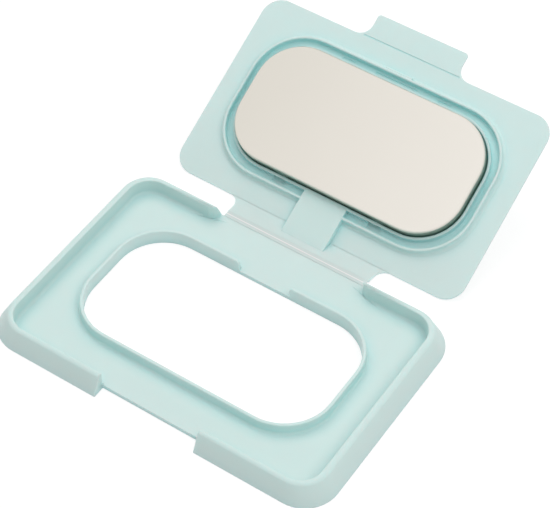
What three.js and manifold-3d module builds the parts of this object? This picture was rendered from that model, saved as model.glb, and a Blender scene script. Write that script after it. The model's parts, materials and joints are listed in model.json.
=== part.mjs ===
// Flip-top lid for a pack of wet wipes, resting with its lid open.
// Millimetres, +Z up. X runs along the hinge, Y from the front of the frame to the hinge and the lid.
import * as THREE from 'three';
import { mergeVertices } from 'three/addons/utils/BufferGeometryUtils.js';
import Module from 'manifold-3d';

// Frame
const FRAME_WIDTH = 110;
const FRAME_DEPTH = 73.2;
const FRAME_CORNER = 10.5;
const FLOOR_THICK = 1.5;
const RIM_HEIGHT = 6.6;
const RIM_SIDE = 5.1;
const RIM_FRONT = 3.8;
const RIM_BACK = 4;
const RIM_CORNER = 5.4;
const RIM_FOOT = 1.0;
const RIM_ROUND = 3.6;
const RIM_LEAN = 2.9;
const RIM_LEAN_FOOT = 0.4;
const RIM_WALL = 1.1;
const FRONT_GAP_CLEARANCE = 0.9;
const WALL_END_ROUND = 3;

// Opening that the wipes are pulled through, and the lip round it
const OPENING_WIDTH = 78.6;
const OPENING_DEPTH = 41.6;
const OPENING_CORNER = 14.5;
const OPENING_FRONT = 16.2;
const LIP_THICK = 1;
const LIP_HEIGHT = 3.5;
const NOTCH_CLEARANCE = 1.3;

// Hinge: a thin web of the same plastic
const HINGE_BEHIND_FRAME = 0.7;
const HINGE_LENGTH = 47.6;
const HINGE_GAP_CLEARANCE = 0.8;
const FILM_THICK = 0.4;
const FILM_TO_LID = 0.28;
const REST_ANGLE = 27.5;

// Lid, measured in its own plane: s runs away from the hinge, n stands up from the lid
const LID_WIDTH = 97.4;
const LID_LENGTH = 60.3;
const LID_CORNER = 6.3;
const LID_THICK = 0.75;
const LID_NEAR = 6.4;
const LID_OVER_LIP = 0.3;
const ARM_WIDTH = 48.2;
const ARM_START = 0.9;
const ARM_DROP = 0.4;
const ARM_THICK = 0.8;
const ARM_FILLET = 3.5;
const ARM_RAMP_SHORT = 1.6;
const ARM_RAMP_RISE = 0.9;
const ARM_HEEL = 1.3;
const ARM_OVERLAP = 1.6;
const TAB_WIDTH = 30.6;
const TAB_LENGTH = 7.9;
const TAB_CORNER = 1;
const TAB_FILLET = 4;
const TAB_CREASE_WIDTH = 0.5;
const TAB_CREASE_DEPTH = 0.2;
const STRAP_WIDTH = 14.4;
const STRAP_START = 3;
const RING_GAP = 0.4;
const RING_THICK = 0.9;
const RING_HEIGHT = 2.1;

// Metal tray, and the wall on the lid that holds it
const TRAY_WIDTH = 75.5;
const TRAY_LENGTH = 38;
const TRAY_CORNER = 14;
const TRAY_SHEET = 0.6;
const TRAY_EDGE_ROUND = 0.8;
const TRAY_ABOVE_UNDERSIDE = 0.1;
const TRAY_GAP = 0.3;
const HOLDER_THICK = 0.8;
const SLOT_WIDTH = 0.9;
const SIDE_SLOT_LENGTH = 4.2;
const SIDE_SLOT_OFFSET = 16.3;
const SNAP_SLOT_LENGTH = 14;
const SNAP_LUG_LENGTH = 9;
const SNAP_LUG_REACH = 0.6;

// Sizes that follow from those above
const HALF_WIDTH = FRAME_WIDTH / 2;
const OPENING_MIDDLE = OPENING_FRONT + OPENING_DEPTH / 2;
const HINGE_Y = FRAME_DEPTH + HINGE_BEHIND_FRAME;
const HINGE_Z = FLOOR_THICK - FILM_THICK / 2;
const LIP_TOP = FLOOR_THICK + LIP_HEIGHT;
const LID_FACE = -(LIP_TOP + LID_OVER_LIP - HINGE_Z);
const LID_BACK = LID_FACE - LID_THICK;
const RING_TOP = LID_FACE + RING_HEIGHT;
const LID_FAR = LID_NEAR + LID_LENGTH;
const LID_MIDDLE = HINGE_Y - OPENING_MIDDLE;
const HOLDER_INNER_WIDTH = TRAY_WIDTH + 2 * TRAY_GAP;
const HOLDER_INNER_LENGTH = TRAY_LENGTH + 2 * TRAY_GAP;
const HOLDER_NEAR = LID_MIDDLE - HOLDER_INNER_LENGTH / 2;
const GROOVE_HALF_LENGTH = OPENING_DEPTH / 2 + LIP_THICK + RING_GAP;
const EPS = 0.01;
const CURVE_STEPS = 8;
const ROUND_STEPS = 5;

const wasm = await Module();
wasm.setup();

function toSolid(geometry) {
  const bare = geometry.clone();
  bare.deleteAttribute('normal');
  bare.deleteAttribute('uv');
  const merged = mergeVertices(bare, 1e-4);
  return new wasm.Manifold(new wasm.Mesh({
    numProp: 3,
    vertProperties: new Float32Array(merged.attributes.position.array),
    triVerts: new Uint32Array(merged.index.array),
  }));
}

function toGeometry(solid) {
  const mesh = solid.getMesh();
  const geometry = new THREE.BufferGeometry();
  geometry.setAttribute('position', new THREE.BufferAttribute(new Float32Array(mesh.vertProperties), 3));
  geometry.setIndex(new THREE.BufferAttribute(new Uint32Array(mesh.triVerts), 1));
  geometry.computeVertexNormals();
  return geometry;
}

function roundedRect(xMin, xMax, yMin, yMax, radius) {
  const shape = new THREE.Shape();
  shape.moveTo(xMin + radius, yMin);
  shape.lineTo(xMax - radius, yMin);
  shape.absarc(xMax - radius, yMin + radius, radius, -Math.PI / 2, 0, false);
  shape.lineTo(xMax, yMax - radius);
  shape.absarc(xMax - radius, yMax - radius, radius, 0, Math.PI / 2, false);
  shape.lineTo(xMin + radius, yMax);
  shape.absarc(xMin + radius, yMax - radius, radius, Math.PI / 2, Math.PI, false);
  shape.lineTo(xMin, yMin + radius);
  shape.absarc(xMin + radius, yMin + radius, radius, Math.PI, 1.5 * Math.PI, false);
  return shape;
}

function centredRect(width, length, middle, radius) {
  return roundedRect(-width / 2, width / 2, middle - length / 2, middle + length / 2, radius);
}

// A flat outline raised from zLow to zHigh
function slab(shape, zLow, zHigh) {
  const options = { depth: zHigh - zLow, bevelEnabled: false, curveSegments: CURVE_STEPS };
  return toSolid(new THREE.ExtrudeGeometry(shape, options).translate(0, 0, zLow));
}

function block(xMin, xMax, yMin, yMax, zMin, zMax) {
  const box = new THREE.BoxGeometry(xMax - xMin, yMax - yMin, zMax - zMin);
  return toSolid(box.translate((xMin + xMax) / 2, (yMin + yMax) / 2, (zMin + zMax) / 2));
}

// A slab whose upper edge is rounded: inset is how far the round comes in, drop how far it comes down.
// With one step the round is a straight slope.
function crownedSlab(shape, zLow, zHigh, inset, drop, steps = ROUND_STEPS) {
  const options = {
    depth: zHigh - zLow - drop,
    bevelEnabled: true,
    bevelThickness: drop,
    bevelSize: inset,
    bevelOffset: -inset,
    bevelSegments: steps,
    curveSegments: CURVE_STEPS,
  };
  const whole = toSolid(new THREE.ExtrudeGeometry(shape, options).translate(0, 0, zLow));
  const reach = 2 * FRAME_WIDTH;
  return whole.subtract(block(-reach, reach, -reach, reach, zLow - 2 * drop, zLow));
}

// A side outline in Y and Z, drawn out along X
function profileAlongX(points, halfLength) {
  const shape = new THREE.Shape(points.map(([s, n]) => new THREE.Vector2(s, n)));
  const geometry = new THREE.ExtrudeGeometry(shape, { depth: 2 * halfLength, bevelEnabled: false });
  geometry.rotateX(Math.PI / 2);
  geometry.rotateZ(Math.PI / 2);
  return toSolid(geometry.translate(-halfLength, 0, 0));
}

function makeFrame() {
  const outline = roundedRect(-HALF_WIDTH, HALF_WIDTH, 0, FRAME_DEPTH, FRAME_CORNER);
  const rimInner = roundedRect(
    -HALF_WIDTH + RIM_SIDE, HALF_WIDTH - RIM_SIDE, RIM_FRONT, FRAME_DEPTH - RIM_BACK, RIM_CORNER);
  // The rim's outer face leans in all the way up, and its crest is rounded
  let frame = crownedSlab(outline, 0, RIM_HEIGHT, RIM_ROUND, RIM_HEIGHT - RIM_FOOT);
  frame = frame.intersect(crownedSlab(outline, 0, RIM_HEIGHT, RIM_LEAN, RIM_HEIGHT - RIM_LEAN_FOOT, 1));
  frame = frame.subtract(slab(rimInner, FLOOR_THICK, RIM_HEIGHT + 1));

  // The rim is hollow underneath, as a moulding of even wall thickness is
  const hollowTop = RIM_HEIGHT - RIM_WALL;
  const hollowOuter = roundedRect(-HALF_WIDTH + RIM_WALL, HALF_WIDTH - RIM_WALL,
    RIM_WALL, FRAME_DEPTH - RIM_WALL, FRAME_CORNER - RIM_WALL);
  const hollowInner = roundedRect(
    -HALF_WIDTH + RIM_SIDE - RIM_WALL, HALF_WIDTH - RIM_SIDE + RIM_WALL,
    RIM_FRONT - RIM_WALL, FRAME_DEPTH - RIM_BACK + RIM_WALL, RIM_CORNER + RIM_WALL);
  const gapHalf = TAB_WIDTH / 2 + FRONT_GAP_CLEARANCE;
  const landHalf = HINGE_LENGTH / 2 + HINGE_GAP_CLEARANCE;
  let hollow = crownedSlab(hollowOuter, -EPS, hollowTop, RIM_ROUND - RIM_WALL / 2, hollowTop - RIM_FOOT);
  hollow = hollow.intersect(
    crownedSlab(hollowOuter, -EPS, hollowTop, RIM_LEAN, hollowTop - RIM_LEAN_FOOT, 1));
  hollow = hollow.subtract(slab(hollowInner, -1, RIM_HEIGHT));
  const gapEnd = gapHalf + RIM_WALL;
  hollow = hollow.subtract(block(-gapEnd, gapEnd, -1, OPENING_FRONT, -1, RIM_HEIGHT));
  const landEnd = landHalf + WALL_END_ROUND + RIM_WALL;
  hollow = hollow.subtract(
    block(-landEnd, landEnd, OPENING_MIDDLE, FRAME_DEPTH + 1, -1, RIM_HEIGHT));
  frame = frame.subtract(hollow);

  // Gap at the front that the lid's tab comes through
  frame = frame.subtract(block(-gapHalf, gapHalf, -1, RIM_FRONT, -1, RIM_HEIGHT + 1));

  // Low land at the back for the hinge, with rounded ends on the walls beside it
  const innerBack = FRAME_DEPTH - RIM_BACK;
  const land = new THREE.Shape();
  land.moveTo(-landHalf - WALL_END_ROUND, innerBack - EPS);
  land.absarc(-landHalf - WALL_END_ROUND, innerBack + WALL_END_ROUND, WALL_END_ROUND,
    -Math.PI / 2, 0, false);
  land.lineTo(-landHalf, FRAME_DEPTH + 1);
  land.lineTo(landHalf, FRAME_DEPTH + 1);
  land.absarc(landHalf + WALL_END_ROUND, innerBack + WALL_END_ROUND, WALL_END_ROUND,
    Math.PI, 1.5 * Math.PI, false);
  land.lineTo(landHalf + WALL_END_ROUND, innerBack - EPS);
  frame = frame.subtract(slab(land, FLOOR_THICK, RIM_HEIGHT + 1));

  // Lip round the opening, left out where the lid's strap passes
  const lipOuter = centredRect(OPENING_WIDTH + 2 * LIP_THICK, OPENING_DEPTH + 2 * LIP_THICK,
    OPENING_MIDDLE, OPENING_CORNER + LIP_THICK);
  const opening = centredRect(OPENING_WIDTH, OPENING_DEPTH, OPENING_MIDDLE, OPENING_CORNER);
  frame = frame.add(slab(lipOuter, FLOOR_THICK / 2, LIP_TOP));
  frame = frame.subtract(slab(opening, -1, LIP_TOP + 1));
  const notchHalf = STRAP_WIDTH / 2 + NOTCH_CLEARANCE;
  return frame.subtract(
    block(-notchHalf, notchHalf, OPENING_MIDDLE, innerBack, FLOOR_THICK, LIP_TOP + 1));
}

function makeFilmHinge() {
  const toLid = HINGE_BEHIND_FRAME + ARM_START * Math.cos(THREE.MathUtils.degToRad(REST_ANGLE));
  return block(-HINGE_LENGTH / 2, HINGE_LENGTH / 2, FRAME_DEPTH, FRAME_DEPTH + toLid - FILM_TO_LID,
    FLOOR_THICK - FILM_THICK, FLOOR_THICK);
}

function lidOutline() {
  const half = LID_WIDTH / 2;
  const tabHalf = TAB_WIDTH / 2;
  const tabEnd = LID_FAR + TAB_LENGTH;
  const shape = new THREE.Shape();
  shape.moveTo(-half + LID_CORNER, LID_NEAR);
  shape.lineTo(half - LID_CORNER, LID_NEAR);
  shape.absarc(half - LID_CORNER, LID_NEAR + LID_CORNER, LID_CORNER, -Math.PI / 2, 0, false);
  shape.lineTo(half, LID_FAR - LID_CORNER);
  shape.absarc(half - LID_CORNER, LID_FAR - LID_CORNER, LID_CORNER, 0, Math.PI / 2, false);
  shape.lineTo(tabHalf + TAB_FILLET, LID_FAR);
  shape.absarc(tabHalf + TAB_FILLET, LID_FAR + TAB_FILLET, TAB_FILLET, -Math.PI / 2, -Math.PI, true);
  shape.lineTo(tabHalf, tabEnd - TAB_CORNER);
  shape.absarc(tabHalf - TAB_CORNER, tabEnd - TAB_CORNER, TAB_CORNER, 0, Math.PI / 2, false);
  shape.lineTo(-tabHalf + TAB_CORNER, tabEnd);
  shape.absarc(-tabHalf + TAB_CORNER, tabEnd - TAB_CORNER, TAB_CORNER, Math.PI / 2, Math.PI, false);
  shape.lineTo(-tabHalf, LID_FAR + TAB_FILLET);
  shape.absarc(-tabHalf - TAB_FILLET, LID_FAR + TAB_FILLET, TAB_FILLET, 0, -Math.PI / 2, true);
  shape.lineTo(-half + LID_CORNER, LID_FAR);
  shape.absarc(-half + LID_CORNER, LID_FAR - LID_CORNER, LID_CORNER, Math.PI / 2, Math.PI, false);
  shape.lineTo(-half, LID_NEAR + LID_CORNER);
  shape.absarc(-half + LID_CORNER, LID_NEAR + LID_CORNER, LID_CORNER, Math.PI, 1.5 * Math.PI, false);
  return shape;
}

// The arm steps down from the hinge to the lid, and flares into the lid's near edge
function makeArm() {
  const armTop = -ARM_DROP;
  const side = [
    [ARM_START, armTop],
    [LID_NEAR - ARM_RAMP_SHORT, LID_FACE + ARM_RAMP_RISE],
    [LID_NEAR + ARM_THICK / 2, LID_FACE],
    [LID_NEAR + ARM_OVERLAP, LID_FACE],
    [LID_NEAR + ARM_OVERLAP, LID_BACK],
    [LID_NEAR, LID_BACK],
    [LID_NEAR - ARM_HEEL, LID_BACK + ARM_THICK],
    [ARM_START, armTop - ARM_THICK],
  ];
  const half = ARM_WIDTH / 2;
  const flare = new THREE.Shape();
  flare.moveTo(-half, 0);
  flare.lineTo(half, 0);
  flare.lineTo(half, LID_NEAR - ARM_FILLET);
  flare.absarc(half + ARM_FILLET, LID_NEAR - ARM_FILLET, ARM_FILLET, Math.PI, Math.PI / 2, true);
  flare.lineTo(half + ARM_FILLET, LID_NEAR + ARM_OVERLAP);
  flare.lineTo(-half - ARM_FILLET, LID_NEAR + ARM_OVERLAP);
  flare.lineTo(-half - ARM_FILLET, LID_NEAR);
  flare.absarc(-half - ARM_FILLET, LID_NEAR - ARM_FILLET, ARM_FILLET, Math.PI / 2, 0, true);
  const web = profileAlongX(side, half + ARM_FILLET);
  return web.intersect(slab(flare, LID_BACK - 1, 1));
}

// Flat-topped strap from the arm to the holder, at the height of the ring
function makeStrap() {
  const strapEnd = HOLDER_NEAR - EPS;
  const side = [
    [STRAP_START, RING_TOP],
    [strapEnd, RING_TOP],
    [strapEnd, LID_FACE - LID_THICK / 2],
    [LID_NEAR + ARM_THICK, LID_FACE - LID_THICK / 2],
    [LID_NEAR - ARM_RAMP_SHORT, LID_FACE + ARM_THICK / 2],
  ];
  return profileAlongX(side, STRAP_WIDTH / 2);
}

function wallRing(innerWidth, innerLength, innerCorner, thickness) {
  const outer = centredRect(innerWidth + 2 * thickness, innerLength + 2 * thickness,
    LID_MIDDLE, innerCorner + thickness);
  const inner = centredRect(innerWidth, innerLength, LID_MIDDLE, innerCorner);
  const low = LID_FACE - LID_THICK / 2;
  return slab(outer, low, RING_TOP).subtract(slab(inner, low - 1, RING_TOP + 1));
}

function makeLid() {
  let lid = slab(lidOutline(), LID_BACK, LID_FACE);
  lid = lid.add(makeArm());

  const toRing = 2 * (LIP_THICK + RING_GAP);
  lid = lid.add(wallRing(OPENING_WIDTH + toRing, OPENING_DEPTH + toRing,
    OPENING_CORNER + toRing / 2, RING_THICK));
  lid = lid.add(wallRing(HOLDER_INNER_WIDTH, HOLDER_INNER_LENGTH, TRAY_CORNER + TRAY_GAP, HOLDER_THICK));
  lid = lid.add(makeStrap());

  // Lug outside the ring at the far side, where the lid snaps shut
  const ringFar = LID_MIDDLE + GROOVE_HALF_LENGTH + RING_THICK;
  lid = lid.add(block(-SNAP_LUG_LENGTH / 2, SNAP_LUG_LENGTH / 2, ringFar - RING_THICK / 2,
    ringFar + SNAP_LUG_REACH, LID_FACE - LID_THICK / 2, RING_TOP));

  // Narrow slots through the floor of the groove, beside the holder
  const slotMiddle = HOLDER_INNER_LENGTH / 2 + HOLDER_THICK + SLOT_WIDTH / 2 + EPS;
  const cutSlot = (x, side, length) => {
    const s = LID_MIDDLE + side * slotMiddle;
    lid = lid.subtract(block(x - length / 2, x + length / 2, s - SLOT_WIDTH / 2, s + SLOT_WIDTH / 2,
      LID_BACK - 1, LID_FACE + EPS));
  };
  for (const side of [-1, 1]) {
    for (const x of [-SIDE_SLOT_OFFSET, SIDE_SLOT_OFFSET]) {
      cutSlot(x, side, SIDE_SLOT_LENGTH);
    }
  }
  cutSlot(0, 1, SNAP_SLOT_LENGTH);

  // Crease across the root of the tab
  const crease = block(-TAB_WIDTH / 2, TAB_WIDTH / 2, LID_FAR, LID_FAR + TAB_CREASE_WIDTH,
    LID_FACE - TAB_CREASE_DEPTH, LID_FACE + 1);
  return lid.subtract(crease);
}

// Tray pressed from thin sheet, open towards the lid
function makeTray() {
  const top = HINGE_Z - TRAY_ABOVE_UNDERSIDE;
  const foot = LID_FACE + TRAY_GAP;
  const outer = centredRect(TRAY_WIDTH, TRAY_LENGTH, LID_MIDDLE, TRAY_CORNER);
  const inner = centredRect(TRAY_WIDTH - 2 * TRAY_SHEET, TRAY_LENGTH - 2 * TRAY_SHEET,
    LID_MIDDLE, TRAY_CORNER - TRAY_SHEET);
  const shell = crownedSlab(outer, foot, top, TRAY_EDGE_ROUND, TRAY_EDGE_ROUND);
  return shell.subtract(slab(inner, foot - 1, top - TRAY_SHEET));
}

function namedMesh(name, solid, color, roughness, metalness) {
  const material = new THREE.MeshStandardMaterial({ color, roughness, metalness });
  const mesh = new THREE.Mesh(toGeometry(solid), material);
  mesh.name = name;
  return mesh;
}

const MINT = 0xcde6e0;
const SATIN_METAL = 0xdcd7d0;

const part = new THREE.Group();
part.add(namedMesh('frame', makeFrame(), MINT, 0.45, 0));
part.add(namedMesh('film_hinge', makeFilmHinge(), MINT, 0.4, 0));

const lidGroup = new THREE.Group();
lidGroup.add(namedMesh('lid', makeLid(), MINT, 0.45, 0));
lidGroup.add(namedMesh('metal_tray', makeTray(), SATIN_METAL, 0.3, 1));
lidGroup.position.set(0, HINGE_Y, HINGE_Z);
lidGroup.rotation.x = THREE.MathUtils.degToRad(REST_ANGLE);
part.add(lidGroup);

// The origin is the middle of the part's box, at its underside
part.updateMatrixWorld(true);
const box = new THREE.Box3().setFromObject(part, true);
part.position.y = -(box.min.y + box.max.y) / 2;
part.position.z = -box.min.z;

export default part;
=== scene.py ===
# %% [markdown]
# # A flip-top lid for a pack of wet wipes
#
# The real thing is one injection moulding in pale mint plastic: a flat frame with a rounded rim, a thin
# film hinge, and a lid that folds over. A tray pressed from sheet metal sits inside a wall on the lid.
# This notebook dresses the measured model with finely rounded meshes and materials. Shapes are made in
# millimetres, each piece in its own simple frame, and are put in their place in metres at the end.

# %% Load the measured model
import json
import math

import bmesh
import bpy
from mathutils import Matrix, Vector


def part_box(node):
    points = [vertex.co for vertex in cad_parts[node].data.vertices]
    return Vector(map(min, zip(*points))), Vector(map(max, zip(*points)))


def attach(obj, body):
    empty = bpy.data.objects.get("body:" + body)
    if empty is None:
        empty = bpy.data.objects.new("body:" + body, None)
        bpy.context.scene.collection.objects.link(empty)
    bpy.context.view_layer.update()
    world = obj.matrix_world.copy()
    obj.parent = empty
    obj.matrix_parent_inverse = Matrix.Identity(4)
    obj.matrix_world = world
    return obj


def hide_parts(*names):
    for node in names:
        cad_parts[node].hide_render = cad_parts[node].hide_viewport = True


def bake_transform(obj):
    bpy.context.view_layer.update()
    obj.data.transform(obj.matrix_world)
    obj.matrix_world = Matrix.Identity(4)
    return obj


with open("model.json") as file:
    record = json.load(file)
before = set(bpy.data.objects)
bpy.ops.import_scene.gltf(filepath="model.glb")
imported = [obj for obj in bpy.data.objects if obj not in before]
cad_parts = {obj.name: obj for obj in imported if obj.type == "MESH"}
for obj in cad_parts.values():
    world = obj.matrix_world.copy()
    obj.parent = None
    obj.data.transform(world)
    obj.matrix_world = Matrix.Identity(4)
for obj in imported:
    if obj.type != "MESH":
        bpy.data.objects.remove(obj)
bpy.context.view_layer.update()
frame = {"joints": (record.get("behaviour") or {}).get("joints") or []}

# %% [markdown]
# ## Driving sizes
#
# The outer sizes come from the measured model, so they can't drift from it. The hinge's place and travel
# come from its joint: the lid is shut when it has turned flat onto the frame, so the angle that it rests
# at is what its travel leaves of half a turn.

# %% Sizes shared by every piece
MM = 0.001
frame_low, frame_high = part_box("frame")
FRAME_WIDTH = (frame_high.x - frame_low.x) / MM
FRAME_DEPTH = (frame_high.y - frame_low.y) / MM
RIM_HEIGHT = (frame_high.z - frame_low.z) / MM

joint = frame["joints"][0]
hinge_at = Vector(joint["pos_m"])
HINGE_Y = (hinge_at.y - frame_low.y) / MM
HINGE_Z = hinge_at.z / MM
REST_ANGLE = math.radians(180 - joint["range_deg"][1])

FRAME_PLACE = Matrix.Translation((0, frame_low.y, 0)) @ Matrix.Scale(MM, 4)
LID_PLACE = Matrix.Translation(hinge_at) @ Matrix.Rotation(REST_ANGLE, 4, "X") @ Matrix.Scale(MM, 4)
print(f"frame {FRAME_WIDTH:.1f} x {FRAME_DEPTH:.1f} x {RIM_HEIGHT:.1f} mm,",
      f"lid resting at {math.degrees(REST_ANGLE):.1f} degrees")

# %% [markdown]
# ## Camera
#
# The photograph looks down on the lid from the front right with a long lens. The camera could be placed by
# eye, but the frame's straight edges fix it well, so its angles, distance and lens are written as measured.

# %% Place the camera
VIEW_AZIMUTH = math.radians(32.98)
VIEW_ELEVATION = math.radians(49.39)
VIEW_ROLL = math.radians(-0.85)
VIEW_DISTANCE = 572.0
VIEW_AIM = Vector((-4.10, -1.36, 0))
LENS = 130.59

towards_camera = Vector((
    math.sin(VIEW_AZIMUTH) * math.cos(VIEW_ELEVATION),
    -math.cos(VIEW_AZIMUTH) * math.cos(VIEW_ELEVATION),
    math.sin(VIEW_ELEVATION),
))
camera_data = bpy.data.cameras.new("camera")
camera_data.lens = LENS
camera_data.sensor_width = 36
camera_data.sensor_fit = "HORIZONTAL"
camera = bpy.data.objects.new("camera", camera_data)
turn = towards_camera.to_track_quat("Z", "Y").to_matrix().to_4x4()
place = Matrix.Translation((VIEW_AIM + towards_camera * VIEW_DISTANCE) * MM)
camera.matrix_world = place @ turn @ Matrix.Rotation(-VIEW_ROLL, 4, "Z")
bpy.context.scene.collection.objects.link(camera)
bpy.context.scene.camera = camera
bpy.context.scene.view_settings.view_transform = "Standard"
print("camera at", [round(c / MM, 1) for c in camera.location], "mm")

# %% [markdown]
# ## Light and ground
#
# The photograph is a studio shot on pure white. A brighter lamp would wash out the pale plastic, so the
# white is painted instead: rays that come straight from the camera, off a shine or through plastic see
# white, and every other ray sees a dimmer world. The ground shows only the soft shadow under the part. The
# lamps are kept out of reflections, because the key lamp would draw a white line on the metal.

# %% World and lamps
AMBIENT = 0.42


def seen_directly(nodes, links):
    """1 for rays that show the surroundings as they are: from the camera, off a shine or through plastic."""
    path = nodes.new("ShaderNodeLightPath")
    found = path.outputs["Is Camera Ray"]
    for kind in ("Is Glossy Ray", "Is Transmission Ray"):
        either = nodes.new("ShaderNodeMath")
        either.operation = "MAXIMUM"
        links.new(found, either.inputs[0])
        links.new(path.outputs[kind], either.inputs[1])
        found = either.outputs[0]
    return found


world = bpy.data.worlds.new("studio")
bpy.context.scene.world = world
world.use_nodes = True
nodes, links = world.node_tree.nodes, world.node_tree.links
backdrop = nodes["Background"]
backdrop.inputs["Color"].default_value = (1, 1, 1, 1)
strength = nodes.new("ShaderNodeMapRange")
strength.inputs["To Min"].default_value = AMBIENT
strength.inputs["To Max"].default_value = 1.0
links.new(seen_directly(nodes, links), strength.inputs["Value"])
links.new(strength.outputs["Result"], backdrop.inputs["Strength"])


def add_lamp(name, direction, distance, size, watts):
    """A square soft lamp that looks at the part from a direction."""
    data = bpy.data.lights.new(name, "AREA")
    data.size = size
    data.energy = watts
    lamp = bpy.data.objects.new(name, data)
    towards = Vector(direction).normalized()
    facing = towards.to_track_quat("Z", "Y").to_matrix().to_4x4()
    lamp.matrix_world = Matrix.Translation(towards * distance) @ facing
    lamp.visible_glossy = False
    bpy.context.scene.collection.objects.link(lamp)


add_lamp("key_lamp", (0.65, -0.1, 1.1), distance=1.0, size=0.6, watts=3.0)
add_lamp("top_lamp", (-0.35, 0.25, 1.0), distance=1.1, size=0.9, watts=4.6)
print("lamps:", [light.name for light in bpy.data.lights])

# %% The ground, which keeps the part's shadow
GROUND_SIZE = 4.0
GROUND_GLOW = 0.78
GROUND_MATT = (0.9, 0.9, 0.9, 1)
GROUND_FAINT = (0.3, 0.3, 0.3, 1)
ground_bm = bmesh.new()
bmesh.ops.create_grid(ground_bm, x_segments=1, y_segments=1, size=GROUND_SIZE / 2)
ground_mesh = bpy.data.meshes.new("ground")
ground_bm.to_mesh(ground_mesh)
ground_bm.free()
ground = bpy.data.objects.new("ground", ground_mesh)
bpy.context.scene.collection.objects.link(ground)

ground_paint = bpy.data.materials.new("white_ground")
ground_paint.use_nodes = True
nodes, links = ground_paint.node_tree.nodes, ground_paint.node_tree.links
nodes.clear()
matt = nodes.new("ShaderNodeBsdfDiffuse")
matt.inputs["Color"].default_value = GROUND_MATT
faint = nodes.new("ShaderNodeBsdfDiffuse")
faint.inputs["Color"].default_value = GROUND_FAINT
glow = nodes.new("ShaderNodeEmission")
glow.inputs["Strength"].default_value = GROUND_GLOW
seen_white = nodes.new("ShaderNodeAddShader")
links.new(faint.outputs[0], seen_white.inputs[0])
links.new(glow.outputs[0], seen_white.inputs[1])
choose = nodes.new("ShaderNodeMixShader")
links.new(seen_directly(nodes, links), choose.inputs["Fac"])
links.new(matt.outputs[0], choose.inputs[1])
links.new(seen_white.outputs[0], choose.inputs[2])
output = nodes.new("ShaderNodeOutputMaterial")
links.new(choose.outputs[0], output.inputs["Surface"])
ground_mesh.materials.append(ground_paint)
print("ground:", GROUND_SIZE, "m wide")

# %% [markdown]
# ## Helpers for moulded shapes
#
# A moulding is drawn as rounded rectangles at different heights with a skin bridged between them, so each
# wall, round and fillet is a row of the skin. Openings are cut with booleans. Every corner of a real
# moulding is rounded a little by its tool, so the edges that are still sharp get a small bevel.

# %% Make closed shapes
CORNER_STEPS = 12
ROUND_STEPS = 5
TOUCH = 0.001           # points this near are one point
STANDING_APART = 2.0    # between rows while they are bridged


def link_object(bm, name):
    mesh = bpy.data.meshes.new(name)
    bm.to_mesh(mesh)
    bm.free()
    obj = bpy.data.objects.new(name, mesh)
    bpy.context.scene.collection.objects.link(obj)
    return obj


def rounded_face(width, length, middle, corner, height):
    """One flat face, a rounded rectangle whose middle is on the centre line."""
    bm = bmesh.new()
    bmesh.ops.create_grid(bm, x_segments=1, y_segments=1, size=0.5)
    bmesh.ops.scale(bm, vec=(width, length, 1), verts=bm.verts)
    bmesh.ops.bevel(bm, geom=bm.verts[:], offset=corner, offset_type="OFFSET", segments=CORNER_STEPS,
                    profile=0.5, affect="VERTICES", clamp_overlap=False, material=-1)
    bmesh.ops.translate(bm, vec=(0, middle, height), verts=bm.verts)
    return bm


def skin(sections, name, closed=False):
    """A closed shape through rounded rectangles. It closes on itself as a ring, or is capped at both ends."""
    bm = bmesh.new()
    loops = []
    # Rows are bridged while they stand apart, because two in one plane would be joined crosswise
    for step, section in enumerate(sections):
        flat = rounded_face(*section[:-1], step * STANDING_APART)
        mesh = bpy.data.meshes.new("section")
        flat.to_mesh(mesh)
        flat.free()
        known = len(bm.edges)
        bm.from_mesh(mesh)
        bpy.data.meshes.remove(mesh)
        bm.edges.ensure_lookup_table()
        loops.append(bm.edges[known:])
    bmesh.ops.delete(bm, geom=bm.faces[:], context="FACES_ONLY")
    followers = loops[1:] + loops[:1] if closed else loops[1:]
    for loop, follower in zip(loops, followers):
        bmesh.ops.bridge_loops(bm, edges=loop + follower)
    for loop, section in zip(loops, sections):
        for vert in {vert for edge in loop for vert in edge.verts}:
            vert.co.z = section[-1]
    if not closed:
        bmesh.ops.holes_fill(bm, edges=bm.edges[:], sides=0)
    bmesh.ops.recalc_face_normals(bm, faces=bm.faces[:])
    open_edges = sum(not edge.is_manifold for edge in bm.edges)
    print(f"skin {name}: {len(bm.faces)} faces, {open_edges} open edges, {bm.calc_volume():.0f} cubic mm")
    return link_object(bm, name)


def block(x_range, y_range, z_range, name="block"):
    bm = bmesh.new()
    bmesh.ops.create_cube(bm, size=1)
    low, high = (Vector(ends) for ends in zip(x_range, y_range, z_range))
    bmesh.ops.scale(bm, vec=high - low, verts=bm.verts)
    bmesh.ops.translate(bm, vec=(low + high) / 2, verts=bm.verts)
    return link_object(bm, name)


def quarter(steps=ROUND_STEPS):
    """Angles from 0 to a right angle."""
    return [math.pi / 2 * step / steps for step in range(steps + 1)]


print("rounds have", ROUND_STEPS, "steps, corners in plan", CORNER_STEPS)

# %% Join, cut and soften shapes
SHARP = math.radians(32)
LEVEL = math.radians(0.4)    # faces that meet at less than this are one flat face
PAST = 1.0                   # a cutter reaches this far past what it cuts
OVERLAP = 0.02               # and this far past a face that it would otherwise lie in


def put_in_order(mesh):
    """Keeps a mesh's points and faces but gives them a fixed order, as a boolean's order varies by run."""
    points = sorted(mesh.vertices, key=lambda vert: tuple(vert.co))
    rank = {vert.index: place for place, vert in enumerate(points)}
    outlines = []
    for face in mesh.polygons:
        corners = [rank[index] for index in face.vertices]
        first = corners.index(min(corners))
        outlines.append(corners[first:] + corners[:first])
    bm = bmesh.new()
    verts = [bm.verts.new(vert.co) for vert in points]
    for corners in sorted(outlines):
        bm.faces.new([verts[place] for place in corners])
    bm.to_mesh(mesh)
    bm.free()


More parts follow.
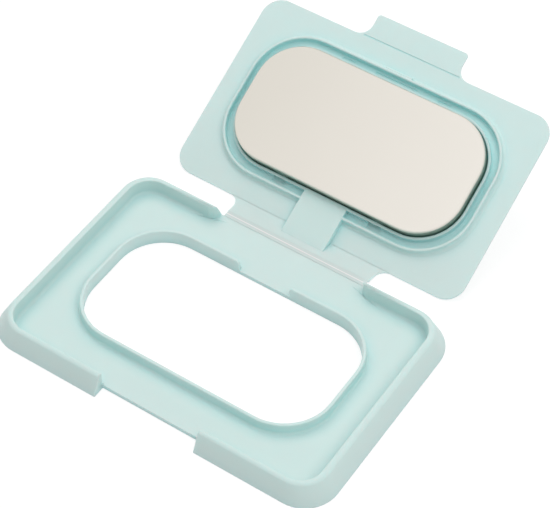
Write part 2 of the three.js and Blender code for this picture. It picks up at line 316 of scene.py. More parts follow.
def combine(target, tool, operation):
    """One boolean step. The tool is used up."""
    step = target.modifiers.new("step", "BOOLEAN")
    step.object = tool
    step.operation = operation
    step.solver = "EXACT"
    seen = target.evaluated_get(bpy.context.evaluated_depsgraph_get())
    result = bpy.data.meshes.new_from_object(seen)
    put_in_order(result)
    print(f"{operation.lower()} {tool.name}: {len(target.data.polygons)} to {len(result.polygons)} faces")
    target.modifiers.clear()
    target.data = result
    bpy.data.objects.remove(tool, do_unlink=True)


def sharp_edges(bm):
    return [edge for edge in bm.edges if edge.is_manifold and edge.calc_face_angle() > SHARP]


def soften(obj, radius, steps=3):
    """Rounds what is still sharp."""
    bm = bmesh.new()
    bm.from_mesh(obj.data)
    bmesh.ops.remove_doubles(bm, verts=bm.verts, dist=TOUCH)
    bmesh.ops.dissolve_limit(bm, angle_limit=LEVEL, use_dissolve_boundaries=False,
                             verts=bm.verts, edges=bm.edges, delimit=set())
    bmesh.ops.bevel(bm, geom=sharp_edges(bm), offset=radius, offset_type="OFFSET", segments=steps,
                    profile=0.5, affect="EDGES", clamp_overlap=False, material=-1)
    bm.to_mesh(obj.data)
    bm.free()


print("edges over", round(math.degrees(SHARP)), "degrees are sharp")

# %% Put a finished shape in its place
def settle(obj, place, node, material):
    """Puts a shape in its place in metres, with smooth shading on its rounds, and gives it its finish."""
    bm = bmesh.new()
    bm.from_mesh(obj.data)
    bmesh.ops.transform(bm, matrix=place, verts=bm.verts)
    bmesh.ops.triangulate(bm, faces=[face for face in bm.faces if len(face.verts) > 4])
    open_edges = sum(not edge.is_manifold for edge in bm.edges)
    volume = bm.calc_volume() / MM ** 3
    bm.to_mesh(obj.data)
    bm.free()
    obj.data.shade_smooth()
    obj.data.set_sharp_from_angle(angle=SHARP)
    keep_flat = obj.modifiers.new("keep flats flat", "WEIGHTED_NORMAL")
    keep_flat.keep_sharp = True
    keep_flat.weight = 100
    obj.data.materials.clear()
    obj.data.materials.append(material)
    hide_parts(node)
    print(f"{obj.name}: {len(obj.data.polygons)} faces, {open_edges} open edges, {volume:.0f} cubic mm")


print("shapes are placed at", MM, "m to the millimetre")

# %% [markdown]
# ## Mint plastic
#
# The moulding is polypropylene with a little mint pigment: satin, and milky enough for light to bleed a
# millimetre or two under its surface, which is why its hollows look more saturated than its crests. A flat
# colour would look like paint. So the plastic has scattering below the surface, a faint cloudiness from the
# melt's flow, and a fine matt grain from the tool as a bump. Scattering alone leaves the hollows too pale,
# so a deeper, more saturated colour is painted in as shade where less of the surroundings can be seen from the
# surface.

# %% The plastic's material
MINT = (0.680, 0.825, 0.800, 1)
MINT_CLOUD = (0.650, 0.810, 0.785, 1)
# painted shade: the deeper mint mixed into the colour where the surface lies in a hollow
MINT_PAINTED_SHADE = (0.500, 0.780, 0.780, 1)
HOLLOW_REACH = 4.5 * MM
HOLLOW_OPEN, FULLY_OPEN = 0.35, 0.95
FLOW_SCALE, GRAIN_SCALE = 45, 1800
GRAIN_STRENGTH, GRAIN_DEPTH = 0.06, 0.0001
SMOOTHER, ROUGHER = 0.05, 0.07
SCATTER_COLOURS = (0.6, 1.0, 1.0)
SCATTER_REACH = 2 * MM
PLASTIC_IOR = 1.49


def plastic(name, colour, cloud, painted_shade_colour, scatter, roughness):
    material = bpy.data.materials.new(name)
    material.use_nodes = True
    nodes, links = material.node_tree.nodes, material.node_tree.links
    shader = nodes["Principled BSDF"]
    place = nodes.new("ShaderNodeTexCoord")

    flow = nodes.new("ShaderNodeTexNoise")
    flow.inputs["Scale"].default_value = FLOW_SCALE
    flow.inputs["Detail"].default_value = 3
    links.new(place.outputs["Object"], flow.inputs["Vector"])
    tint = nodes.new("ShaderNodeMix")
    tint.data_type = "RGBA"
    tint.inputs["A"].default_value = colour
    tint.inputs["B"].default_value = cloud
    links.new(flow.outputs["Fac"], tint.inputs["Factor"])

    # Painted shade: where ambient occlusion finds a hollow, a deeper, more saturated mint is mixed into the base
    # colour.
    openness = nodes.new("ShaderNodeAmbientOcclusion")
    openness.samples = 5
    openness.inputs["Distance"].default_value = HOLLOW_REACH
    deepen = nodes.new("ShaderNodeMapRange")
    deepen.inputs["From Min"].default_value = HOLLOW_OPEN
    deepen.inputs["From Max"].default_value = FULLY_OPEN
    links.new(openness.outputs["AO"], deepen.inputs["Value"])
    painted_shade_mix = nodes.new("ShaderNodeMix")
    painted_shade_mix.data_type = "RGBA"
    painted_shade_mix.inputs["A"].default_value = painted_shade_colour
    links.new(deepen.outputs["Result"], painted_shade_mix.inputs["Factor"])
    links.new(tint.outputs["Result"], painted_shade_mix.inputs["B"])
    links.new(painted_shade_mix.outputs["Result"], shader.inputs["Base Color"])

    sheen = nodes.new("ShaderNodeMapRange")
    sheen.inputs["To Min"].default_value = roughness - SMOOTHER
    sheen.inputs["To Max"].default_value = roughness + ROUGHER
    links.new(flow.outputs["Fac"], sheen.inputs["Value"])
    links.new(sheen.outputs["Result"], shader.inputs["Roughness"])

    grain = nodes.new("ShaderNodeTexNoise")
    grain.inputs["Scale"].default_value = GRAIN_SCALE
    grain.inputs["Detail"].default_value = 2
    links.new(place.outputs["Object"], grain.inputs["Vector"])
    bump = nodes.new("ShaderNodeBump")
    bump.inputs["Strength"].default_value = GRAIN_STRENGTH
    bump.inputs["Distance"].default_value = GRAIN_DEPTH
    links.new(grain.outputs["Fac"], bump.inputs["Height"])
    links.new(bump.outputs["Normal"], shader.inputs["Normal"])

    shader.inputs["IOR"].default_value = PLASTIC_IOR
    shader.inputs["Subsurface Weight"].default_value = scatter
    shader.inputs["Subsurface Radius"].default_value = SCATTER_COLOURS
    shader.inputs["Subsurface Scale"].default_value = SCATTER_REACH
    return material


mint = plastic("mint_plastic_satin", MINT, MINT_CLOUD, MINT_PAINTED_SHADE, scatter=0.4, roughness=0.42)
film = plastic("mint_film_pale", MINT, MINT_CLOUD, MINT, scatter=0.5, roughness=0.38)
print("plastic finishes:", mint.name, film.name)

# %% [markdown]
# The web is the same plastic, and it turns white along the line where it has been folded. A strip of its
# own would be a piece that doesn't exist, so the white is mixed into the web's colour by how far a point
# lies from the hinge's axis.

# %% The film's pale crease
CREASE_HALF = 0.22 * MM
CREASE_CORE = 0.5    # the share of it that is fully white
CREASE_WHITE = (0.92, 0.98, 0.97, 1)

nodes, links = film.node_tree.nodes, film.node_tree.links
shader = nodes["Principled BSDF"]
plain = shader.inputs["Base Color"].links[0].from_socket
where = nodes.new("ShaderNodeTexCoord")
apart = nodes.new("ShaderNodeSeparateXYZ")
links.new(where.outputs["Object"], apart.inputs["Vector"])
from_axis = nodes.new("ShaderNodeMath")
from_axis.operation = "SUBTRACT"
from_axis.inputs[1].default_value = hinge_at.y
links.new(apart.outputs["Y"], from_axis.inputs[0])
away = nodes.new("ShaderNodeMath")
away.operation = "ABSOLUTE"
links.new(from_axis.outputs[0], away.inputs[0])
fade = nodes.new("ShaderNodeMapRange")
fade.inputs["From Min"].default_value = CREASE_HALF * CREASE_CORE
fade.inputs["From Max"].default_value = CREASE_HALF
links.new(away.outputs[0], fade.inputs["Value"])
whitened = nodes.new("ShaderNodeMix")
whitened.data_type = "RGBA"
whitened.inputs["A"].default_value = CREASE_WHITE
links.new(fade.outputs["Result"], whitened.inputs["Factor"])
links.new(plain, whitened.inputs["B"])
links.new(whitened.outputs["Result"], shader.inputs["Base Color"])
print("pale crease:", round(2 * CREASE_HALF / MM, 2), "mm wide")

# %% [markdown]
# ## Satin metal
#
# The tray's face is a soft, warm grey with almost no grain: sheet that was finished before it was pressed.
# A mirror would show the studio too plainly, and a strong brushed grain isn't seen, so the metal has a
# medium roughness and a grain so fine and long that it only spreads the reflections sideways.

# %% The metal's grain and cloudiness
SHEET_GRAIN_SCALE = (60, 2600, 2600)
SHEET_CLOUD_SCALE = 28

metal = bpy.data.materials.new("satin_metal_sheet")
metal.use_nodes = True
nodes, links = metal.node_tree.nodes, metal.node_tree.links
shader = nodes["Principled BSDF"]
shader.inputs["Metallic"].default_value = 1.0
place = nodes.new("ShaderNodeTexCoord")
stretch = nodes.new("ShaderNodeMapping")
stretch.inputs["Scale"].default_value = SHEET_GRAIN_SCALE
links.new(place.outputs["Object"], stretch.inputs["Vector"])
grain = nodes.new("ShaderNodeTexNoise")
grain.inputs["Scale"].default_value = 1.0
grain.inputs["Detail"].default_value = 3
links.new(stretch.outputs["Vector"], grain.inputs["Vector"])
cloud = nodes.new("ShaderNodeTexNoise")
cloud.inputs["Scale"].default_value = SHEET_CLOUD_SCALE
links.new(place.outputs["Object"], cloud.inputs["Vector"])
print("metal finish:", metal.name)

# %% [markdown]
# In the photograph the face gets lighter from left to right, and the tray's wall is much darker than its
# face. The first is probably the studio's reflection, and the second is the darker surroundings reflected in
# the wall. Big white and dark cards round the part would do both, but would also light the plastic, so both
# are painted into the colour as reflection.

# %% The metal's colours
METAL = (0.860, 0.822, 0.760, 1)
# painted reflection: the dimmer colour of the face's left side
METAL_PAINTED_DIM_REFLECTION = (0.725, 0.692, 0.622, 1)
# painted reflection: the dark colour of the tray's wall, standing in for the darker surroundings it reflects
METAL_WALL_PAINTED_REFLECTION = (0.400, 0.415, 0.350, 1)
SHEET_HALF = 38 * MM
CLOUD_SHARE = 0.2
WALL_TURNED, FACE_TURNED = 0.1, 0.95    # how far a surface faces the same way as the tray's face

# Painted reflection: the face's colour runs from the dimmer shade on the left to the lighter one on the right.
apart = nodes.new("ShaderNodeSeparateXYZ")
links.new(place.outputs["Object"], apart.inputs["Vector"])
across = nodes.new("ShaderNodeMapRange")
across.inputs["From Min"].default_value = -SHEET_HALF
across.inputs["From Max"].default_value = SHEET_HALF
links.new(apart.outputs["X"], across.inputs["Value"])
shade = nodes.new("ShaderNodeMix")
shade.inputs["Factor"].default_value = CLOUD_SHARE
links.new(across.outputs["Result"], shade.inputs["A"])
links.new(cloud.outputs["Fac"], shade.inputs["B"])
tint = nodes.new("ShaderNodeMix")
tint.data_type = "RGBA"
tint.inputs["A"].default_value = METAL_PAINTED_DIM_REFLECTION
tint.inputs["B"].default_value = METAL
links.new(shade.outputs["Result"], tint.inputs["Factor"])
# Painted reflection: surfaces turned away from the face, the tray's wall, get a dark colour in place of the
# surroundings reflected in them.
upright = nodes.new("ShaderNodeVectorMath")
upright.operation = "DOT_PRODUCT"
upright.inputs[1].default_value = (0, -math.sin(REST_ANGLE), math.cos(REST_ANGLE))
links.new(place.outputs["Normal"], upright.inputs[0])
on_face = nodes.new("ShaderNodeMapRange")
on_face.inputs["From Min"].default_value = WALL_TURNED
on_face.inputs["From Max"].default_value = FACE_TURNED
links.new(upright.outputs["Value"], on_face.inputs["Value"])
painted_wall_reflection = nodes.new("ShaderNodeMix")
painted_wall_reflection.data_type = "RGBA"
painted_wall_reflection.inputs["A"].default_value = METAL_WALL_PAINTED_REFLECTION
links.new(on_face.outputs["Result"], painted_wall_reflection.inputs["Factor"])
links.new(tint.outputs["Result"], painted_wall_reflection.inputs["B"])
links.new(painted_wall_reflection.outputs["Result"], shader.inputs["Base Color"])
print("metal colours: a face in two shades, and a darker wall")

# %% The metal's sheen
SATIN_LOW, SATIN_HIGH = 0.26, 0.36
SHEET_BUMP, SHEET_BUMP_DEPTH = 0.05, 0.00003

satin = nodes.new("ShaderNodeMapRange")
satin.inputs["To Min"].default_value = SATIN_LOW
satin.inputs["To Max"].default_value = SATIN_HIGH
links.new(grain.outputs["Fac"], satin.inputs["Value"])
links.new(satin.outputs["Result"], shader.inputs["Roughness"])
bump = nodes.new("ShaderNodeBump")
bump.inputs["Strength"].default_value = SHEET_BUMP
bump.inputs["Distance"].default_value = SHEET_BUMP_DEPTH
links.new(grain.outputs["Fac"], bump.inputs["Height"])
links.new(bump.outputs["Normal"], shader.inputs["Normal"])
print("metal roughness", SATIN_LOW, "to", SATIN_HIGH)

# %% [markdown]
# ## The frame
#
# The frame is a floor plate with a rim that leans in, and a thin lip round the opening. Its section is the
# same nearly everywhere, so it is one skin of rounded rectangles that closes on itself: across the
# underside, up the leaning outside, over the crest, down the inner wall, along the floor, over the lip.
# Then the tab's gap, the hinge's land and the strap's notch are cut out of it.

# %% Rows of the frame's section
FLOOR = 1.5
RIM_SIDE, RIM_FRONT, RIM_BACK = 5.1, 3.8, 4.0
FRAME_CORNER, RIM_CORNER = 10.5, 6.9
RIM_FOOT, RIM_LEAN, RIM_ROUND = 0.4, 3.4, 1.2
SIDE_LEAN, CORNER_LEAN = 1.33, 0.85
CREST_ROUND, WALL_FILLET = 0.35, 1.0
OPENING_WIDTH, OPENING_DEPTH, OPENING_CORNER, OPENING_FRONT = 78.6, 41.6, 14.5, 16.2
LIP_THICK, LIP_HEIGHT, LIP_FILLET, LIP_ROUND = 1.0, 3.5, 0.8, 0.35
OPENING_MIDDLE = OPENING_FRONT + OPENING_DEPTH / 2
LIP_TOP = FLOOR + LIP_HEIGHT
INNER_BACK = FRAME_DEPTH - RIM_BACK


def outside(inset, height):
    """A row of the outer face, which leans in further at the sides and keeps wider corners."""
    return (FRAME_WIDTH - 2 * inset * SIDE_LEAN, FRAME_DEPTH - 2 * inset, FRAME_DEPTH / 2,
            FRAME_CORNER - inset * CORNER_LEAN, height)


def rim_inside(inset, height):
    return (FRAME_WIDTH - 2 * (RIM_SIDE + inset), INNER_BACK - RIM_FRONT - 2 * inset,
            (RIM_FRONT + INNER_BACK) / 2, RIM_CORNER - inset, height)


def round_opening(outset, height):
    return (OPENING_WIDTH + 2 * outset, OPENING_DEPTH + 2 * outset, OPENING_MIDDLE,
            OPENING_CORNER + outset, height)


def leaning_face(lean, low, high, radius, steps=8):
    """Insets and heights up a face that leans in straight, then rounds over until it is level at its top."""
    rise = high - low - radius
    from_upright = math.acos(radius / math.hypot(lean, rise)) - math.atan2(rise, lean)
    found = [(0, low)]
    for step in range(steps + 1):
        angle = (math.pi / 2 - from_upright) * (1 - step / steps)
        found.append((lean - radius * math.sin(angle), high - radius * (1 - math.cos(angle))))
    return found


rim_face = leaning_face(RIM_LEAN, RIM_FOOT, RIM_HEIGHT, RIM_ROUND)
rows = [round_opening(0, 0), outside(0, 0)] + [outside(inset, height) for inset, height in rim_face]
for angle in quarter():
    rows.append(rim_inside(-CREST_ROUND * (1 - math.sin(angle)),
                           RIM_HEIGHT - CREST_ROUND * (1 - math.cos(angle))))
for angle in quarter():
    rows.append(rim_inside(WALL_FILLET * (1 - math.cos(angle)),
                           FLOOR + WALL_FILLET * (1 - math.sin(angle))))
for angle in quarter():
    rows.append(round_opening(LIP_THICK + LIP_FILLET * (1 - math.sin(angle)),
                              FLOOR + LIP_FILLET * (1 - math.cos(angle))))
for angle in quarter(3):
    rows.append(round_opening(LIP_THICK - LIP_ROUND * (1 - math.cos(angle)),
                              LIP_TOP - LIP_ROUND * (1 - math.sin(angle))))
for angle in quarter(3):
    rows.append(round_opening(LIP_ROUND * (1 - math.sin(angle)),
                              LIP_TOP - LIP_ROUND * (1 - math.cos(angle))))
frame_piece = skin(rows, "frame_moulding", closed=True)
print("rows in the frame's section:", len(rows))

# %% [markdown]
# A solid rim this thick would sink and warp as it cools, so the real one is very likely hollow from below.
# The photograph shows it from above only, so the wall is a guess. The hollow follows the same leaning
# outside, one wall further in, and a core is left out of it for the floor and the rim's inner wall. It
# stops one wall short of the tab's gap and of the wall ends at the hinge.

# %% Hollow under the rim
RIM_WALL = 1.1
HINGE_LENGTH, HINGE_CLEARANCE = 47.6, 0.8
TAB_WIDTH, TAB_CLEARANCE = 30.6, 0.9
WALL_END_ROUND = 3.0
GAP_HALF = TAB_WIDTH / 2 + TAB_CLEARANCE
LAND_HALF = HINGE_LENGTH / 2 + HINGE_CLEARANCE
hollow_face = leaning_face(RIM_LEAN, RIM_FOOT, RIM_HEIGHT - RIM_WALL, RIM_ROUND - RIM_WALL / 2)
hollow_rows = [outside(RIM_WALL, -PAST)]
hollow_rows += [outside(RIM_WALL + inset, height) for inset, height in hollow_face]
hollow = skin(hollow_rows, "hollow")
below = -2 * PAST    # lower than the hollow itself
core = skin([rim_inside(-RIM_WALL, below), rim_inside(-RIM_WALL, RIM_HEIGHT)], "core")
combine(hollow, core, "DIFFERENCE")
front_end = GAP_HALF + RIM_WALL
combine(hollow, block((-front_end, front_end), (-PAST, OPENING_FRONT), (below, RIM_HEIGHT)), "DIFFERENCE")
back_end = LAND_HALF + WALL_END_ROUND + RIM_WALL
combine(hollow, block((-back_end, back_end), (OPENING_MIDDLE, FRAME_DEPTH), (below, RIM_HEIGHT)), "DIFFERENCE")
combine(frame_piece, hollow, "DIFFERENCE")
print("hollow runs between", front_end, "mm at the front and", back_end, "mm at the back")

# %% [markdown]
# The wall ends beside the hinge are rounded in plan: a finger-soft corner that also lets the lid's near
# edge swing past. They could be modelled as lathe pieces, but a cutter with rounded corners leaves them
# standing in one step. The cutter is a flat outline of a few points, two of its upright edges are rounded,
# and it reaches into the fillet at the wall's foot so that no ridge is left on the floor. The notch in the
# lip lets the strap through when the lid is shut, and its upper corners are rounded by the same means.

# %% Outlines raised to a height


def prism(points, low, high, name):
    """A flat outline of a few points, raised to a height."""
    bm = bmesh.new()
    face = bm.faces.new([bm.verts.new((x, y, low)) for x, y in points])
    raised = bmesh.ops.extrude_face_region(bm, geom=[face])["geom"]
    raised_verts = [part for part in raised if isinstance(part, bmesh.types.BMVert)]
    bmesh.ops.translate(bm, vec=(0, 0, high - low), verts=raised_verts)
    bmesh.ops.recalc_face_normals(bm, faces=bm.faces[:])
    return link_object(bm, name)


def round_uprights(obj, corners, radius, steps=10):
    """Rounds the upright edges that stand at some corners of a prism."""
    bm = bmesh.new()
    bm.from_mesh(obj.data)
    chosen = []
    for edge in bm.edges:
        foot, head = (vert.co.xy for vert in edge.verts)
        if (foot - head).length < TOUCH and any((foot - Vector(at)).length < TOUCH for at in corners):
            chosen.append(edge)
    bmesh.ops.bevel(bm, geom=chosen, offset=radius, offset_type="OFFSET", segments=steps, profile=0.5,
                    affect="EDGES", clamp_overlap=False, material=-1)
    bm.to_mesh(obj.data)
    bm.free()
    return len(chosen)


def both_sides(points):
    """An outline drawn on the right and repeated, mirrored, on the left."""
    return points + [(-x, y) for x, y in reversed(points)]


def mirrored(x, y):
    """A point on the right and the same point on the left."""
    return [(x, y), (-x, y)]


print("lip's top at", LIP_TOP, "mm, rim's inner wall ends at", round(INNER_BACK, 2), "mm")

# %% Cut the tab's gap, the hinge's land and the strap's notch
STRAP_WIDTH, NOTCH_CLEARANCE, NOTCH_ROUND = 14.4, 1.3, 1.5
LAND_LEAD_IN = 4.0
FILLET_PASS, FILLET_REACH = 0.1, 0.05
WALL_END_SPARE = 0.1    # keeps the round short of the outline's next point
FRAME_SOFTNESS = 0.22

above = RIM_HEIGHT + PAST
combine(frame_piece, block((-GAP_HALF, GAP_HALF), (-PAST, RIM_FRONT), (-PAST, above)), "DIFFERENCE")
past_fillet = RIM_FRONT + WALL_FILLET + FILLET_PASS
combine(frame_piece, block((-GAP_HALF, GAP_HALF), (-PAST, past_fillet), (FLOOR, above)), "DIFFERENCE")

land_front = INNER_BACK - OVERLAP
land = prism(both_sides([
    (LAND_HALF + WALL_END_ROUND + LAND_LEAD_IN, INNER_BACK - WALL_FILLET - FILLET_REACH),
    (LAND_HALF + WALL_END_ROUND, land_front),
    (LAND_HALF, land_front),
    (LAND_HALF, FRAME_DEPTH + PAST),
]), FLOOR, above, "land")
rounded = round_uprights(land, mirrored(LAND_HALF, land_front), WALL_END_ROUND - WALL_END_SPARE)
combine(frame_piece, land, "DIFFERENCE")

notch_half = STRAP_WIDTH / 2 + NOTCH_CLEARANCE
notch_brim = LIP_TOP + OVERLAP
behind_lip = OPENING_FRONT + OPENING_DEPTH + LIP_THICK + LIP_FILLET + OVERLAP
notch = prism(both_sides([
    (notch_half, FLOOR),
    (notch_half, notch_brim),
    (notch_half + NOTCH_ROUND + PAST, notch_brim),
    (notch_half + NOTCH_ROUND + PAST, above),
]), -behind_lip, -OPENING_MIDDLE, "notch")
round_uprights(notch, mirrored(notch_half, notch_brim), NOTCH_ROUND, steps=6)
notch.data.transform(Matrix.Rotation(math.pi / 2, 4, "X"))
combine(frame_piece, notch, "DIFFERENCE")
soften(frame_piece, FRAME_SOFTNESS)
settle(frame_piece, FRAME_PLACE, "frame", mint)
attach(frame_piece, "base")
print("rounded wall ends:", rounded)

# %% [markdown]
# ## The lid
#
# The lid is a plate under a millimetre thick, with a tab at the front and an arm at the back that climbs
# to the hinge. Plate, tab and arm are one outline of a few points, raised and rounded at its corners. The
# arm is then bent up by moving the rows near the hinge, as the tool's parting line steps there.

# %% Plate, tab and arm in one plane
LID_WIDTH, LID_LENGTH, LID_CORNER, LID_THICK, LID_NEAR = 97.4, 60.3, 6.3, 0.75, 6.4
LID_OVER_LIP = 0.3
ARM_WIDTH, ARM_START, ARM_FILLET = 48.2, 0.9, 3.5
TAB_LENGTH, TAB_CORNER, TAB_FILLET = 7.9, 1.0, 4.0
LID_FACE = -(LIP_TOP + LID_OVER_LIP - HINGE_Z)
LID_BACK = LID_FACE - LID_THICK
LID_FAR = LID_NEAR + LID_LENGTH
LID_MIDDLE = HINGE_Y - OPENING_MIDDLE
lid_half, arm_half, tab_half = LID_WIDTH / 2, ARM_WIDTH / 2, TAB_WIDTH / 2
tab_end = LID_FAR + TAB_LENGTH

lid_piece = prism(both_sides([
    (arm_half, ARM_START),
    (arm_half, LID_NEAR),
    (lid_half, LID_NEAR),
    (lid_half, LID_FAR),
    (tab_half, LID_FAR),
    (tab_half, tab_end),
]), LID_BACK, LID_FACE, "lid_moulding")
round_uprights(lid_piece, mirrored(lid_half, LID_NEAR) + mirrored(lid_half, LID_FAR), LID_CORNER)
round_uprights(lid_piece, mirrored(tab_half, LID_FAR), TAB_FILLET)
round_uprights(lid_piece, mirrored(tab_half, tab_end), TAB_CORNER, steps=6)
round_uprights(lid_piece, mirrored(arm_half, LID_NEAR), ARM_FILLET)
print("lid", LID_WIDTH, "x", LID_LENGTH, "mm, face at", round(LID_FACE, 2), "mm from the hinge's axis")

# %% Bend the arm up to the hinge
ARM_DROP = 0.4
ARM_EASE = 1.15    # a softer start would sink the arm into the ground at rest
ARM_END_SPARE, ARM_ROW_STEP, ARM_EXTRA_ROWS = 0.1, 0.5, 3
LID_SOFTNESS = 0.2

bm = bmesh.new()
bm.from_mesh(lid_piece.data)
arm_rows = {round(vert.co.y, 3) for vert in bm.verts if ARM_START + ARM_END_SPARE < vert.co.y < LID_NEAR + TOUCH}
arm_rows |= {ARM_START + ARM_ROW_STEP * (count + 1) for count in range(ARM_EXTRA_ROWS)}
for row in sorted(arm_rows):
    bmesh.ops.bisect_plane(bm, geom=bm.verts[:] + bm.edges[:] + bm.faces[:], dist=TOUCH,
                           plane_co=(0, row, 0), plane_no=(0, 1, 0))
climb = -ARM_DROP - LID_FACE
for vert in bm.verts:
    share = (LID_NEAR - vert.co.y) / (LID_NEAR - ARM_START)
    if share > 0:
        vert.co.z += climb * share ** ARM_EASE
bm.to_mesh(lid_piece.data)
bm.free()
soften(lid_piece, LID_SOFTNESS)
print("rows up the arm:", len(arm_rows))

# %% [markdown]
# ## Ring, holder and strap on the lid
#
# When the lid shuts, a ring outside the frame's lip and the holder's wall inside it close the pack. Both
# follow the opening's outline, so they are skins too. The ring's outer foot has a wide fillet and its crest
# is fully round. The strap carries the fold's pull from the arm straight to the holder, and a small lug on
# the ring's far side is what would hold the lid shut.

# %% Walls that follow the opening
RING_GAP, RING_THICK, RING_HEIGHT, RING_FILLET, RING_INNER_FILLET = 0.4, 0.9, 2.1, 1.3, 0.4
TRAY_WIDTH, TRAY_LENGTH, TRAY_CORNER, TRAY_GAP = 75.5, 38.0, 14.0, 0.3
HOLDER_THICK, HOLDER_FILLET, HOLDER_INNER_FILLET, HOLDER_CREST = 0.8, 0.4, 0.15, 0.2
BURIED = 0.35       # how deep a wall is set into the lid
FEATHER = 0.03      # a fillet is left off below this height, where it would be a sliver
CREST_FLAT = 0.02   # taken off the ring's crest round, so that its two halves don't meet
RING_TOP = LID_FACE + RING_HEIGHT


def wall_rows(inner, thick, outer_fillet, inner_fillet, crest):
    """Rows of an upright wall on the lid, from its buried foot outside, over its crest, to its foot inside."""
    width, length, corner = inner

    def row(outset, height):
        return (width + 2 * outset, length + 2 * outset, LID_MIDDLE, corner + outset, height)

    buried = LID_FACE - BURIED
    feather_outer = math.acos(1 - FEATHER / outer_fillet)
    feather_inner = math.acos(1 - FEATHER / inner_fillet)
    found = [row(thick + outer_fillet * (1 - math.sin(feather_outer)), buried)]
    for share in range(ROUND_STEPS + 1):
        angle = feather_outer + (math.pi / 2 - feather_outer) * share / ROUND_STEPS
        found.append(row(thick + outer_fillet * (1 - math.sin(angle)),
                         LID_FACE + outer_fillet * (1 - math.cos(angle))))
    for angle in quarter():
        found.append(row(thick - crest * (1 - math.cos(angle)),
                         RING_TOP - crest * (1 - math.sin(angle))))
    for angle in quarter():
        found.append(row(crest * (1 - math.sin(angle)),
                         RING_TOP - crest * (1 - math.cos(angle))))
    for share in range(ROUND_STEPS + 1):
        angle = math.pi / 2 - (math.pi / 2 - feather_inner) * share / ROUND_STEPS
        found.append(row(-inner_fillet * (1 - math.sin(angle)),
                         LID_FACE + inner_fillet * (1 - math.cos(angle))))
    found.append(row(-inner_fillet * (1 - math.sin(feather_inner)), buried))
    return found


to_ring = LIP_THICK + RING_GAP
ring_inner = (OPENING_WIDTH + 2 * to_ring, OPENING_DEPTH + 2 * to_ring, OPENING_CORNER + to_ring)
holder_inner = (TRAY_WIDTH + 2 * TRAY_GAP, TRAY_LENGTH + 2 * TRAY_GAP, TRAY_CORNER + TRAY_GAP)
ring_crest = RING_THICK / 2 - CREST_FLAT
ring_rows = wall_rows(ring_inner, RING_THICK, RING_FILLET, RING_INNER_FILLET, ring_crest)
combine(lid_piece, skin(ring_rows, "ring", closed=True), "UNION")
holder_rows = wall_rows(holder_inner, HOLDER_THICK, HOLDER_FILLET, HOLDER_INNER_FILLET, HOLDER_CREST)
combine(lid_piece, skin(holder_rows, "holder", closed=True), "UNION")
print("ring", ring_inner[0], "mm wide inside, holder", holder_inner[0], "mm wide inside")

# %% Strap and snap lug
STRAP_PROUD, STRAP_LAP, STRAP_SOFTNESS = 0.02, 0.05, 0.15
STRAP_START, STRAP_FOOT_BEFORE, STRAP_FOOT_AFTER = 1.9, 1.6, 0.8
SNAP_LUG_LENGTH, SNAP_LUG_REACH, SNAP_LUG_BELOW_CREST, LUG_SOFTNESS = 9.0, 0.6, 0.3, 0.25

holder_near = LID_MIDDLE - holder_inner[1] / 2
strap_top = RING_TOP + STRAP_PROUD
strap_side = [
    (ARM_START + STRAP_START, strap_top),
    (holder_near + STRAP_LAP, strap_top),
    (holder_near + STRAP_LAP, LID_FACE - BURIED),
    (LID_NEAR + STRAP_FOOT_AFTER, LID_FACE - BURIED),
    (LID_NEAR - STRAP_FOOT_BEFORE, LID_FACE + BURIED),
]
strap = prism([(-height, along) for along, height in strap_side], -STRAP_WIDTH / 2, STRAP_WIDTH / 2, "strap")
strap.data.transform(Matrix.Rotation(math.pi / 2, 4, "Y"))
soften(strap, STRAP_SOFTNESS)
combine(lid_piece, strap, "UNION")

ring_far = LID_MIDDLE + ring_inner[1] / 2 + RING_THICK
lug = block((-SNAP_LUG_LENGTH / 2, SNAP_LUG_LENGTH / 2),
            (ring_far - RING_THICK / 2, ring_far + SNAP_LUG_REACH),
            (LID_FACE - BURIED, RING_TOP - SNAP_LUG_BELOW_CREST), "lug")
soften(lug, LUG_SOFTNESS)
combine(lid_piece, lug, "UNION")
print("strap", STRAP_WIDTH, "mm wide, snap lug", SNAP_LUG_LENGTH, "mm long")

# %% [markdown]
# Small dark slots lie in the groove between ring and holder. Cut right through, they would show the white
# ground, so they are pockets with a thin floor, and the near two also open through the holder's wall. The
# crease across the tab's root is a shallow cut, because a drawn line would not catch the light.

# %% Slots and crease
SLOT_WIDTH, SIDE_SLOT_LENGTH, SIDE_SLOT_OFFSET, SNAP_SLOT_LENGTH = 0.9, 4.2, 16.3, 14.0
SLOT_FLOOR, SLOT_RISE = 0.35, 0.3
WINDOW_LENGTH, WINDOW_RISE, WINDOW_PASS = 3.8, 1.7, 0.1
CREASE_WIDTH, CREASE_DEPTH = 0.5, 0.2

slot_middle = holder_inner[1] / 2 + HOLDER_THICK + HOLDER_FILLET + SLOT_WIDTH / 2
slots = [(x, side, SIDE_SLOT_LENGTH) for x in (-SIDE_SLOT_OFFSET, SIDE_SLOT_OFFSET) for side in (-1, 1)]
slots.append((0, 1, SNAP_SLOT_LENGTH))
for x, side, length in slots:
    along = LID_MIDDLE + side * slot_middle
    combine(lid_piece, block((x - length / 2, x + length / 2),
                             (along - SLOT_WIDTH / 2, along + SLOT_WIDTH / 2),
                             (LID_BACK + SLOT_FLOOR, LID_FACE + SLOT_RISE)), "DIFFERENCE")
for x in (-SIDE_SLOT_OFFSET, SIDE_SLOT_OFFSET):
    combine(lid_piece, block((x - WINDOW_LENGTH / 2, x + WINDOW_LENGTH / 2),
                             (LID_MIDDLE - slot_middle, holder_near + WINDOW_PASS),
                             (LID_FACE - SLOT_RISE / 2, LID_FACE + WINDOW_RISE)), "DIFFERENCE")
combine(lid_piece, block((-tab_half - PAST, tab_half + PAST),
                         (LID_FAR, LID_FAR + CREASE_WIDTH),
                         (LID_FACE - CREASE_DEPTH, LID_FACE + PAST)), "DIFFERENCE")
settle(lid_piece, LID_PLACE, "lid", mint)
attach(lid_piece, "lid")
print("slots cut:", len(slots))
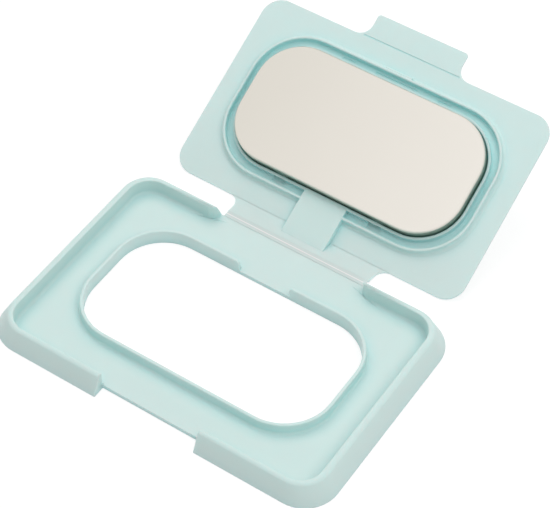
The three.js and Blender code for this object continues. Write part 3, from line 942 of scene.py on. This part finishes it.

# %% [markdown]
# ## The film hinge
#
# The web between frame and lid is a few tenths of a millimetre thick. It bends as the lid swings, so it is
# cut into rows and is left apart from both bodies instead of riding on one of them. It laps a little over
# the frame's land and ends inside the arm, because a web that only met them would leave a dark line.

# %% Hinge web
FILM_THICK, HINGE_BEHIND_FRAME = 0.4, 0.7
FILM_OVER_LAND, FILM_PROUD, FILM_BURIED = 0.5, 0.02, 0.25
FILM_ROWS = 14
arm_front = ARM_START * math.cos(REST_ANGLE) + ARM_DROP * math.sin(REST_ANGLE)
web_start, web_end = -HINGE_BEHIND_FRAME - FILM_OVER_LAND, arm_front + FILM_BURIED
web = block((-HINGE_LENGTH / 2, HINGE_LENGTH / 2), (web_start, web_end),
            (-FILM_THICK / 2, FILM_THICK / 2 + FILM_PROUD), "hinge_web")
bm = bmesh.new()
bm.from_mesh(web.data)
for step in range(1, FILM_ROWS):
    along = web_start + (web_end - web_start) * step / FILM_ROWS
    bmesh.ops.bisect_plane(bm, geom=bm.verts[:] + bm.edges[:] + bm.faces[:], plane_co=(0, along, 0),
                           plane_no=(0, 1, 0))
bm.to_mesh(web.data)
bm.free()
settle(web, Matrix.Translation(hinge_at) @ Matrix.Scale(MM, 4), "film_hinge", film)
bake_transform(web)
print("web rows:", FILM_ROWS)

# %% [markdown]
# ## The metal tray
#
# A shallow tray is pressed from sheet, so its face runs into its wall through a round half as wide again as
# the sheet is thick, and its inside follows its outside. It stands open towards the lid. One skin makes
# it: down the wall inside, across the sheet's edge, up the wall outside and over the round to the face.

# %% Pressed tray
TRAY_SHEET, TRAY_ROUND, TRAY_INNER_ROUND, TRAY_BELOW_HINGE = 0.6, 0.9, 0.5, 0.1
TRAY_SOFTNESS = 0.12
tray_top = HINGE_Z - TRAY_BELOW_HINGE
tray_foot = LID_FACE + TRAY_GAP


def tray_row(inset, height):
    return (TRAY_WIDTH - 2 * inset, TRAY_LENGTH - 2 * inset, LID_MIDDLE, TRAY_CORNER - inset, height)


tray_rows = []
for angle in reversed(quarter()):
    tray_rows.append(tray_row(TRAY_SHEET + TRAY_INNER_ROUND * (1 - math.cos(angle)),
                              tray_top - TRAY_SHEET - TRAY_INNER_ROUND * (1 - math.sin(angle))))
tray_rows.append(tray_row(TRAY_SHEET, tray_foot))
tray_rows.append(tray_row(0, tray_foot))
for angle in quarter(8):
    tray_rows.append(tray_row(TRAY_ROUND * (1 - math.cos(angle)),
                              tray_top - TRAY_ROUND * (1 - math.sin(angle))))
tray = skin(tray_rows, "tray_pressing")
soften(tray, TRAY_SOFTNESS)
settle(tray, LID_PLACE, "metal_tray", metal)
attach(tray, "lid")
print("tray", TRAY_WIDTH, "x", TRAY_LENGTH, "mm, standing", round(tray_top - LID_FACE, 2), "mm above the lid")
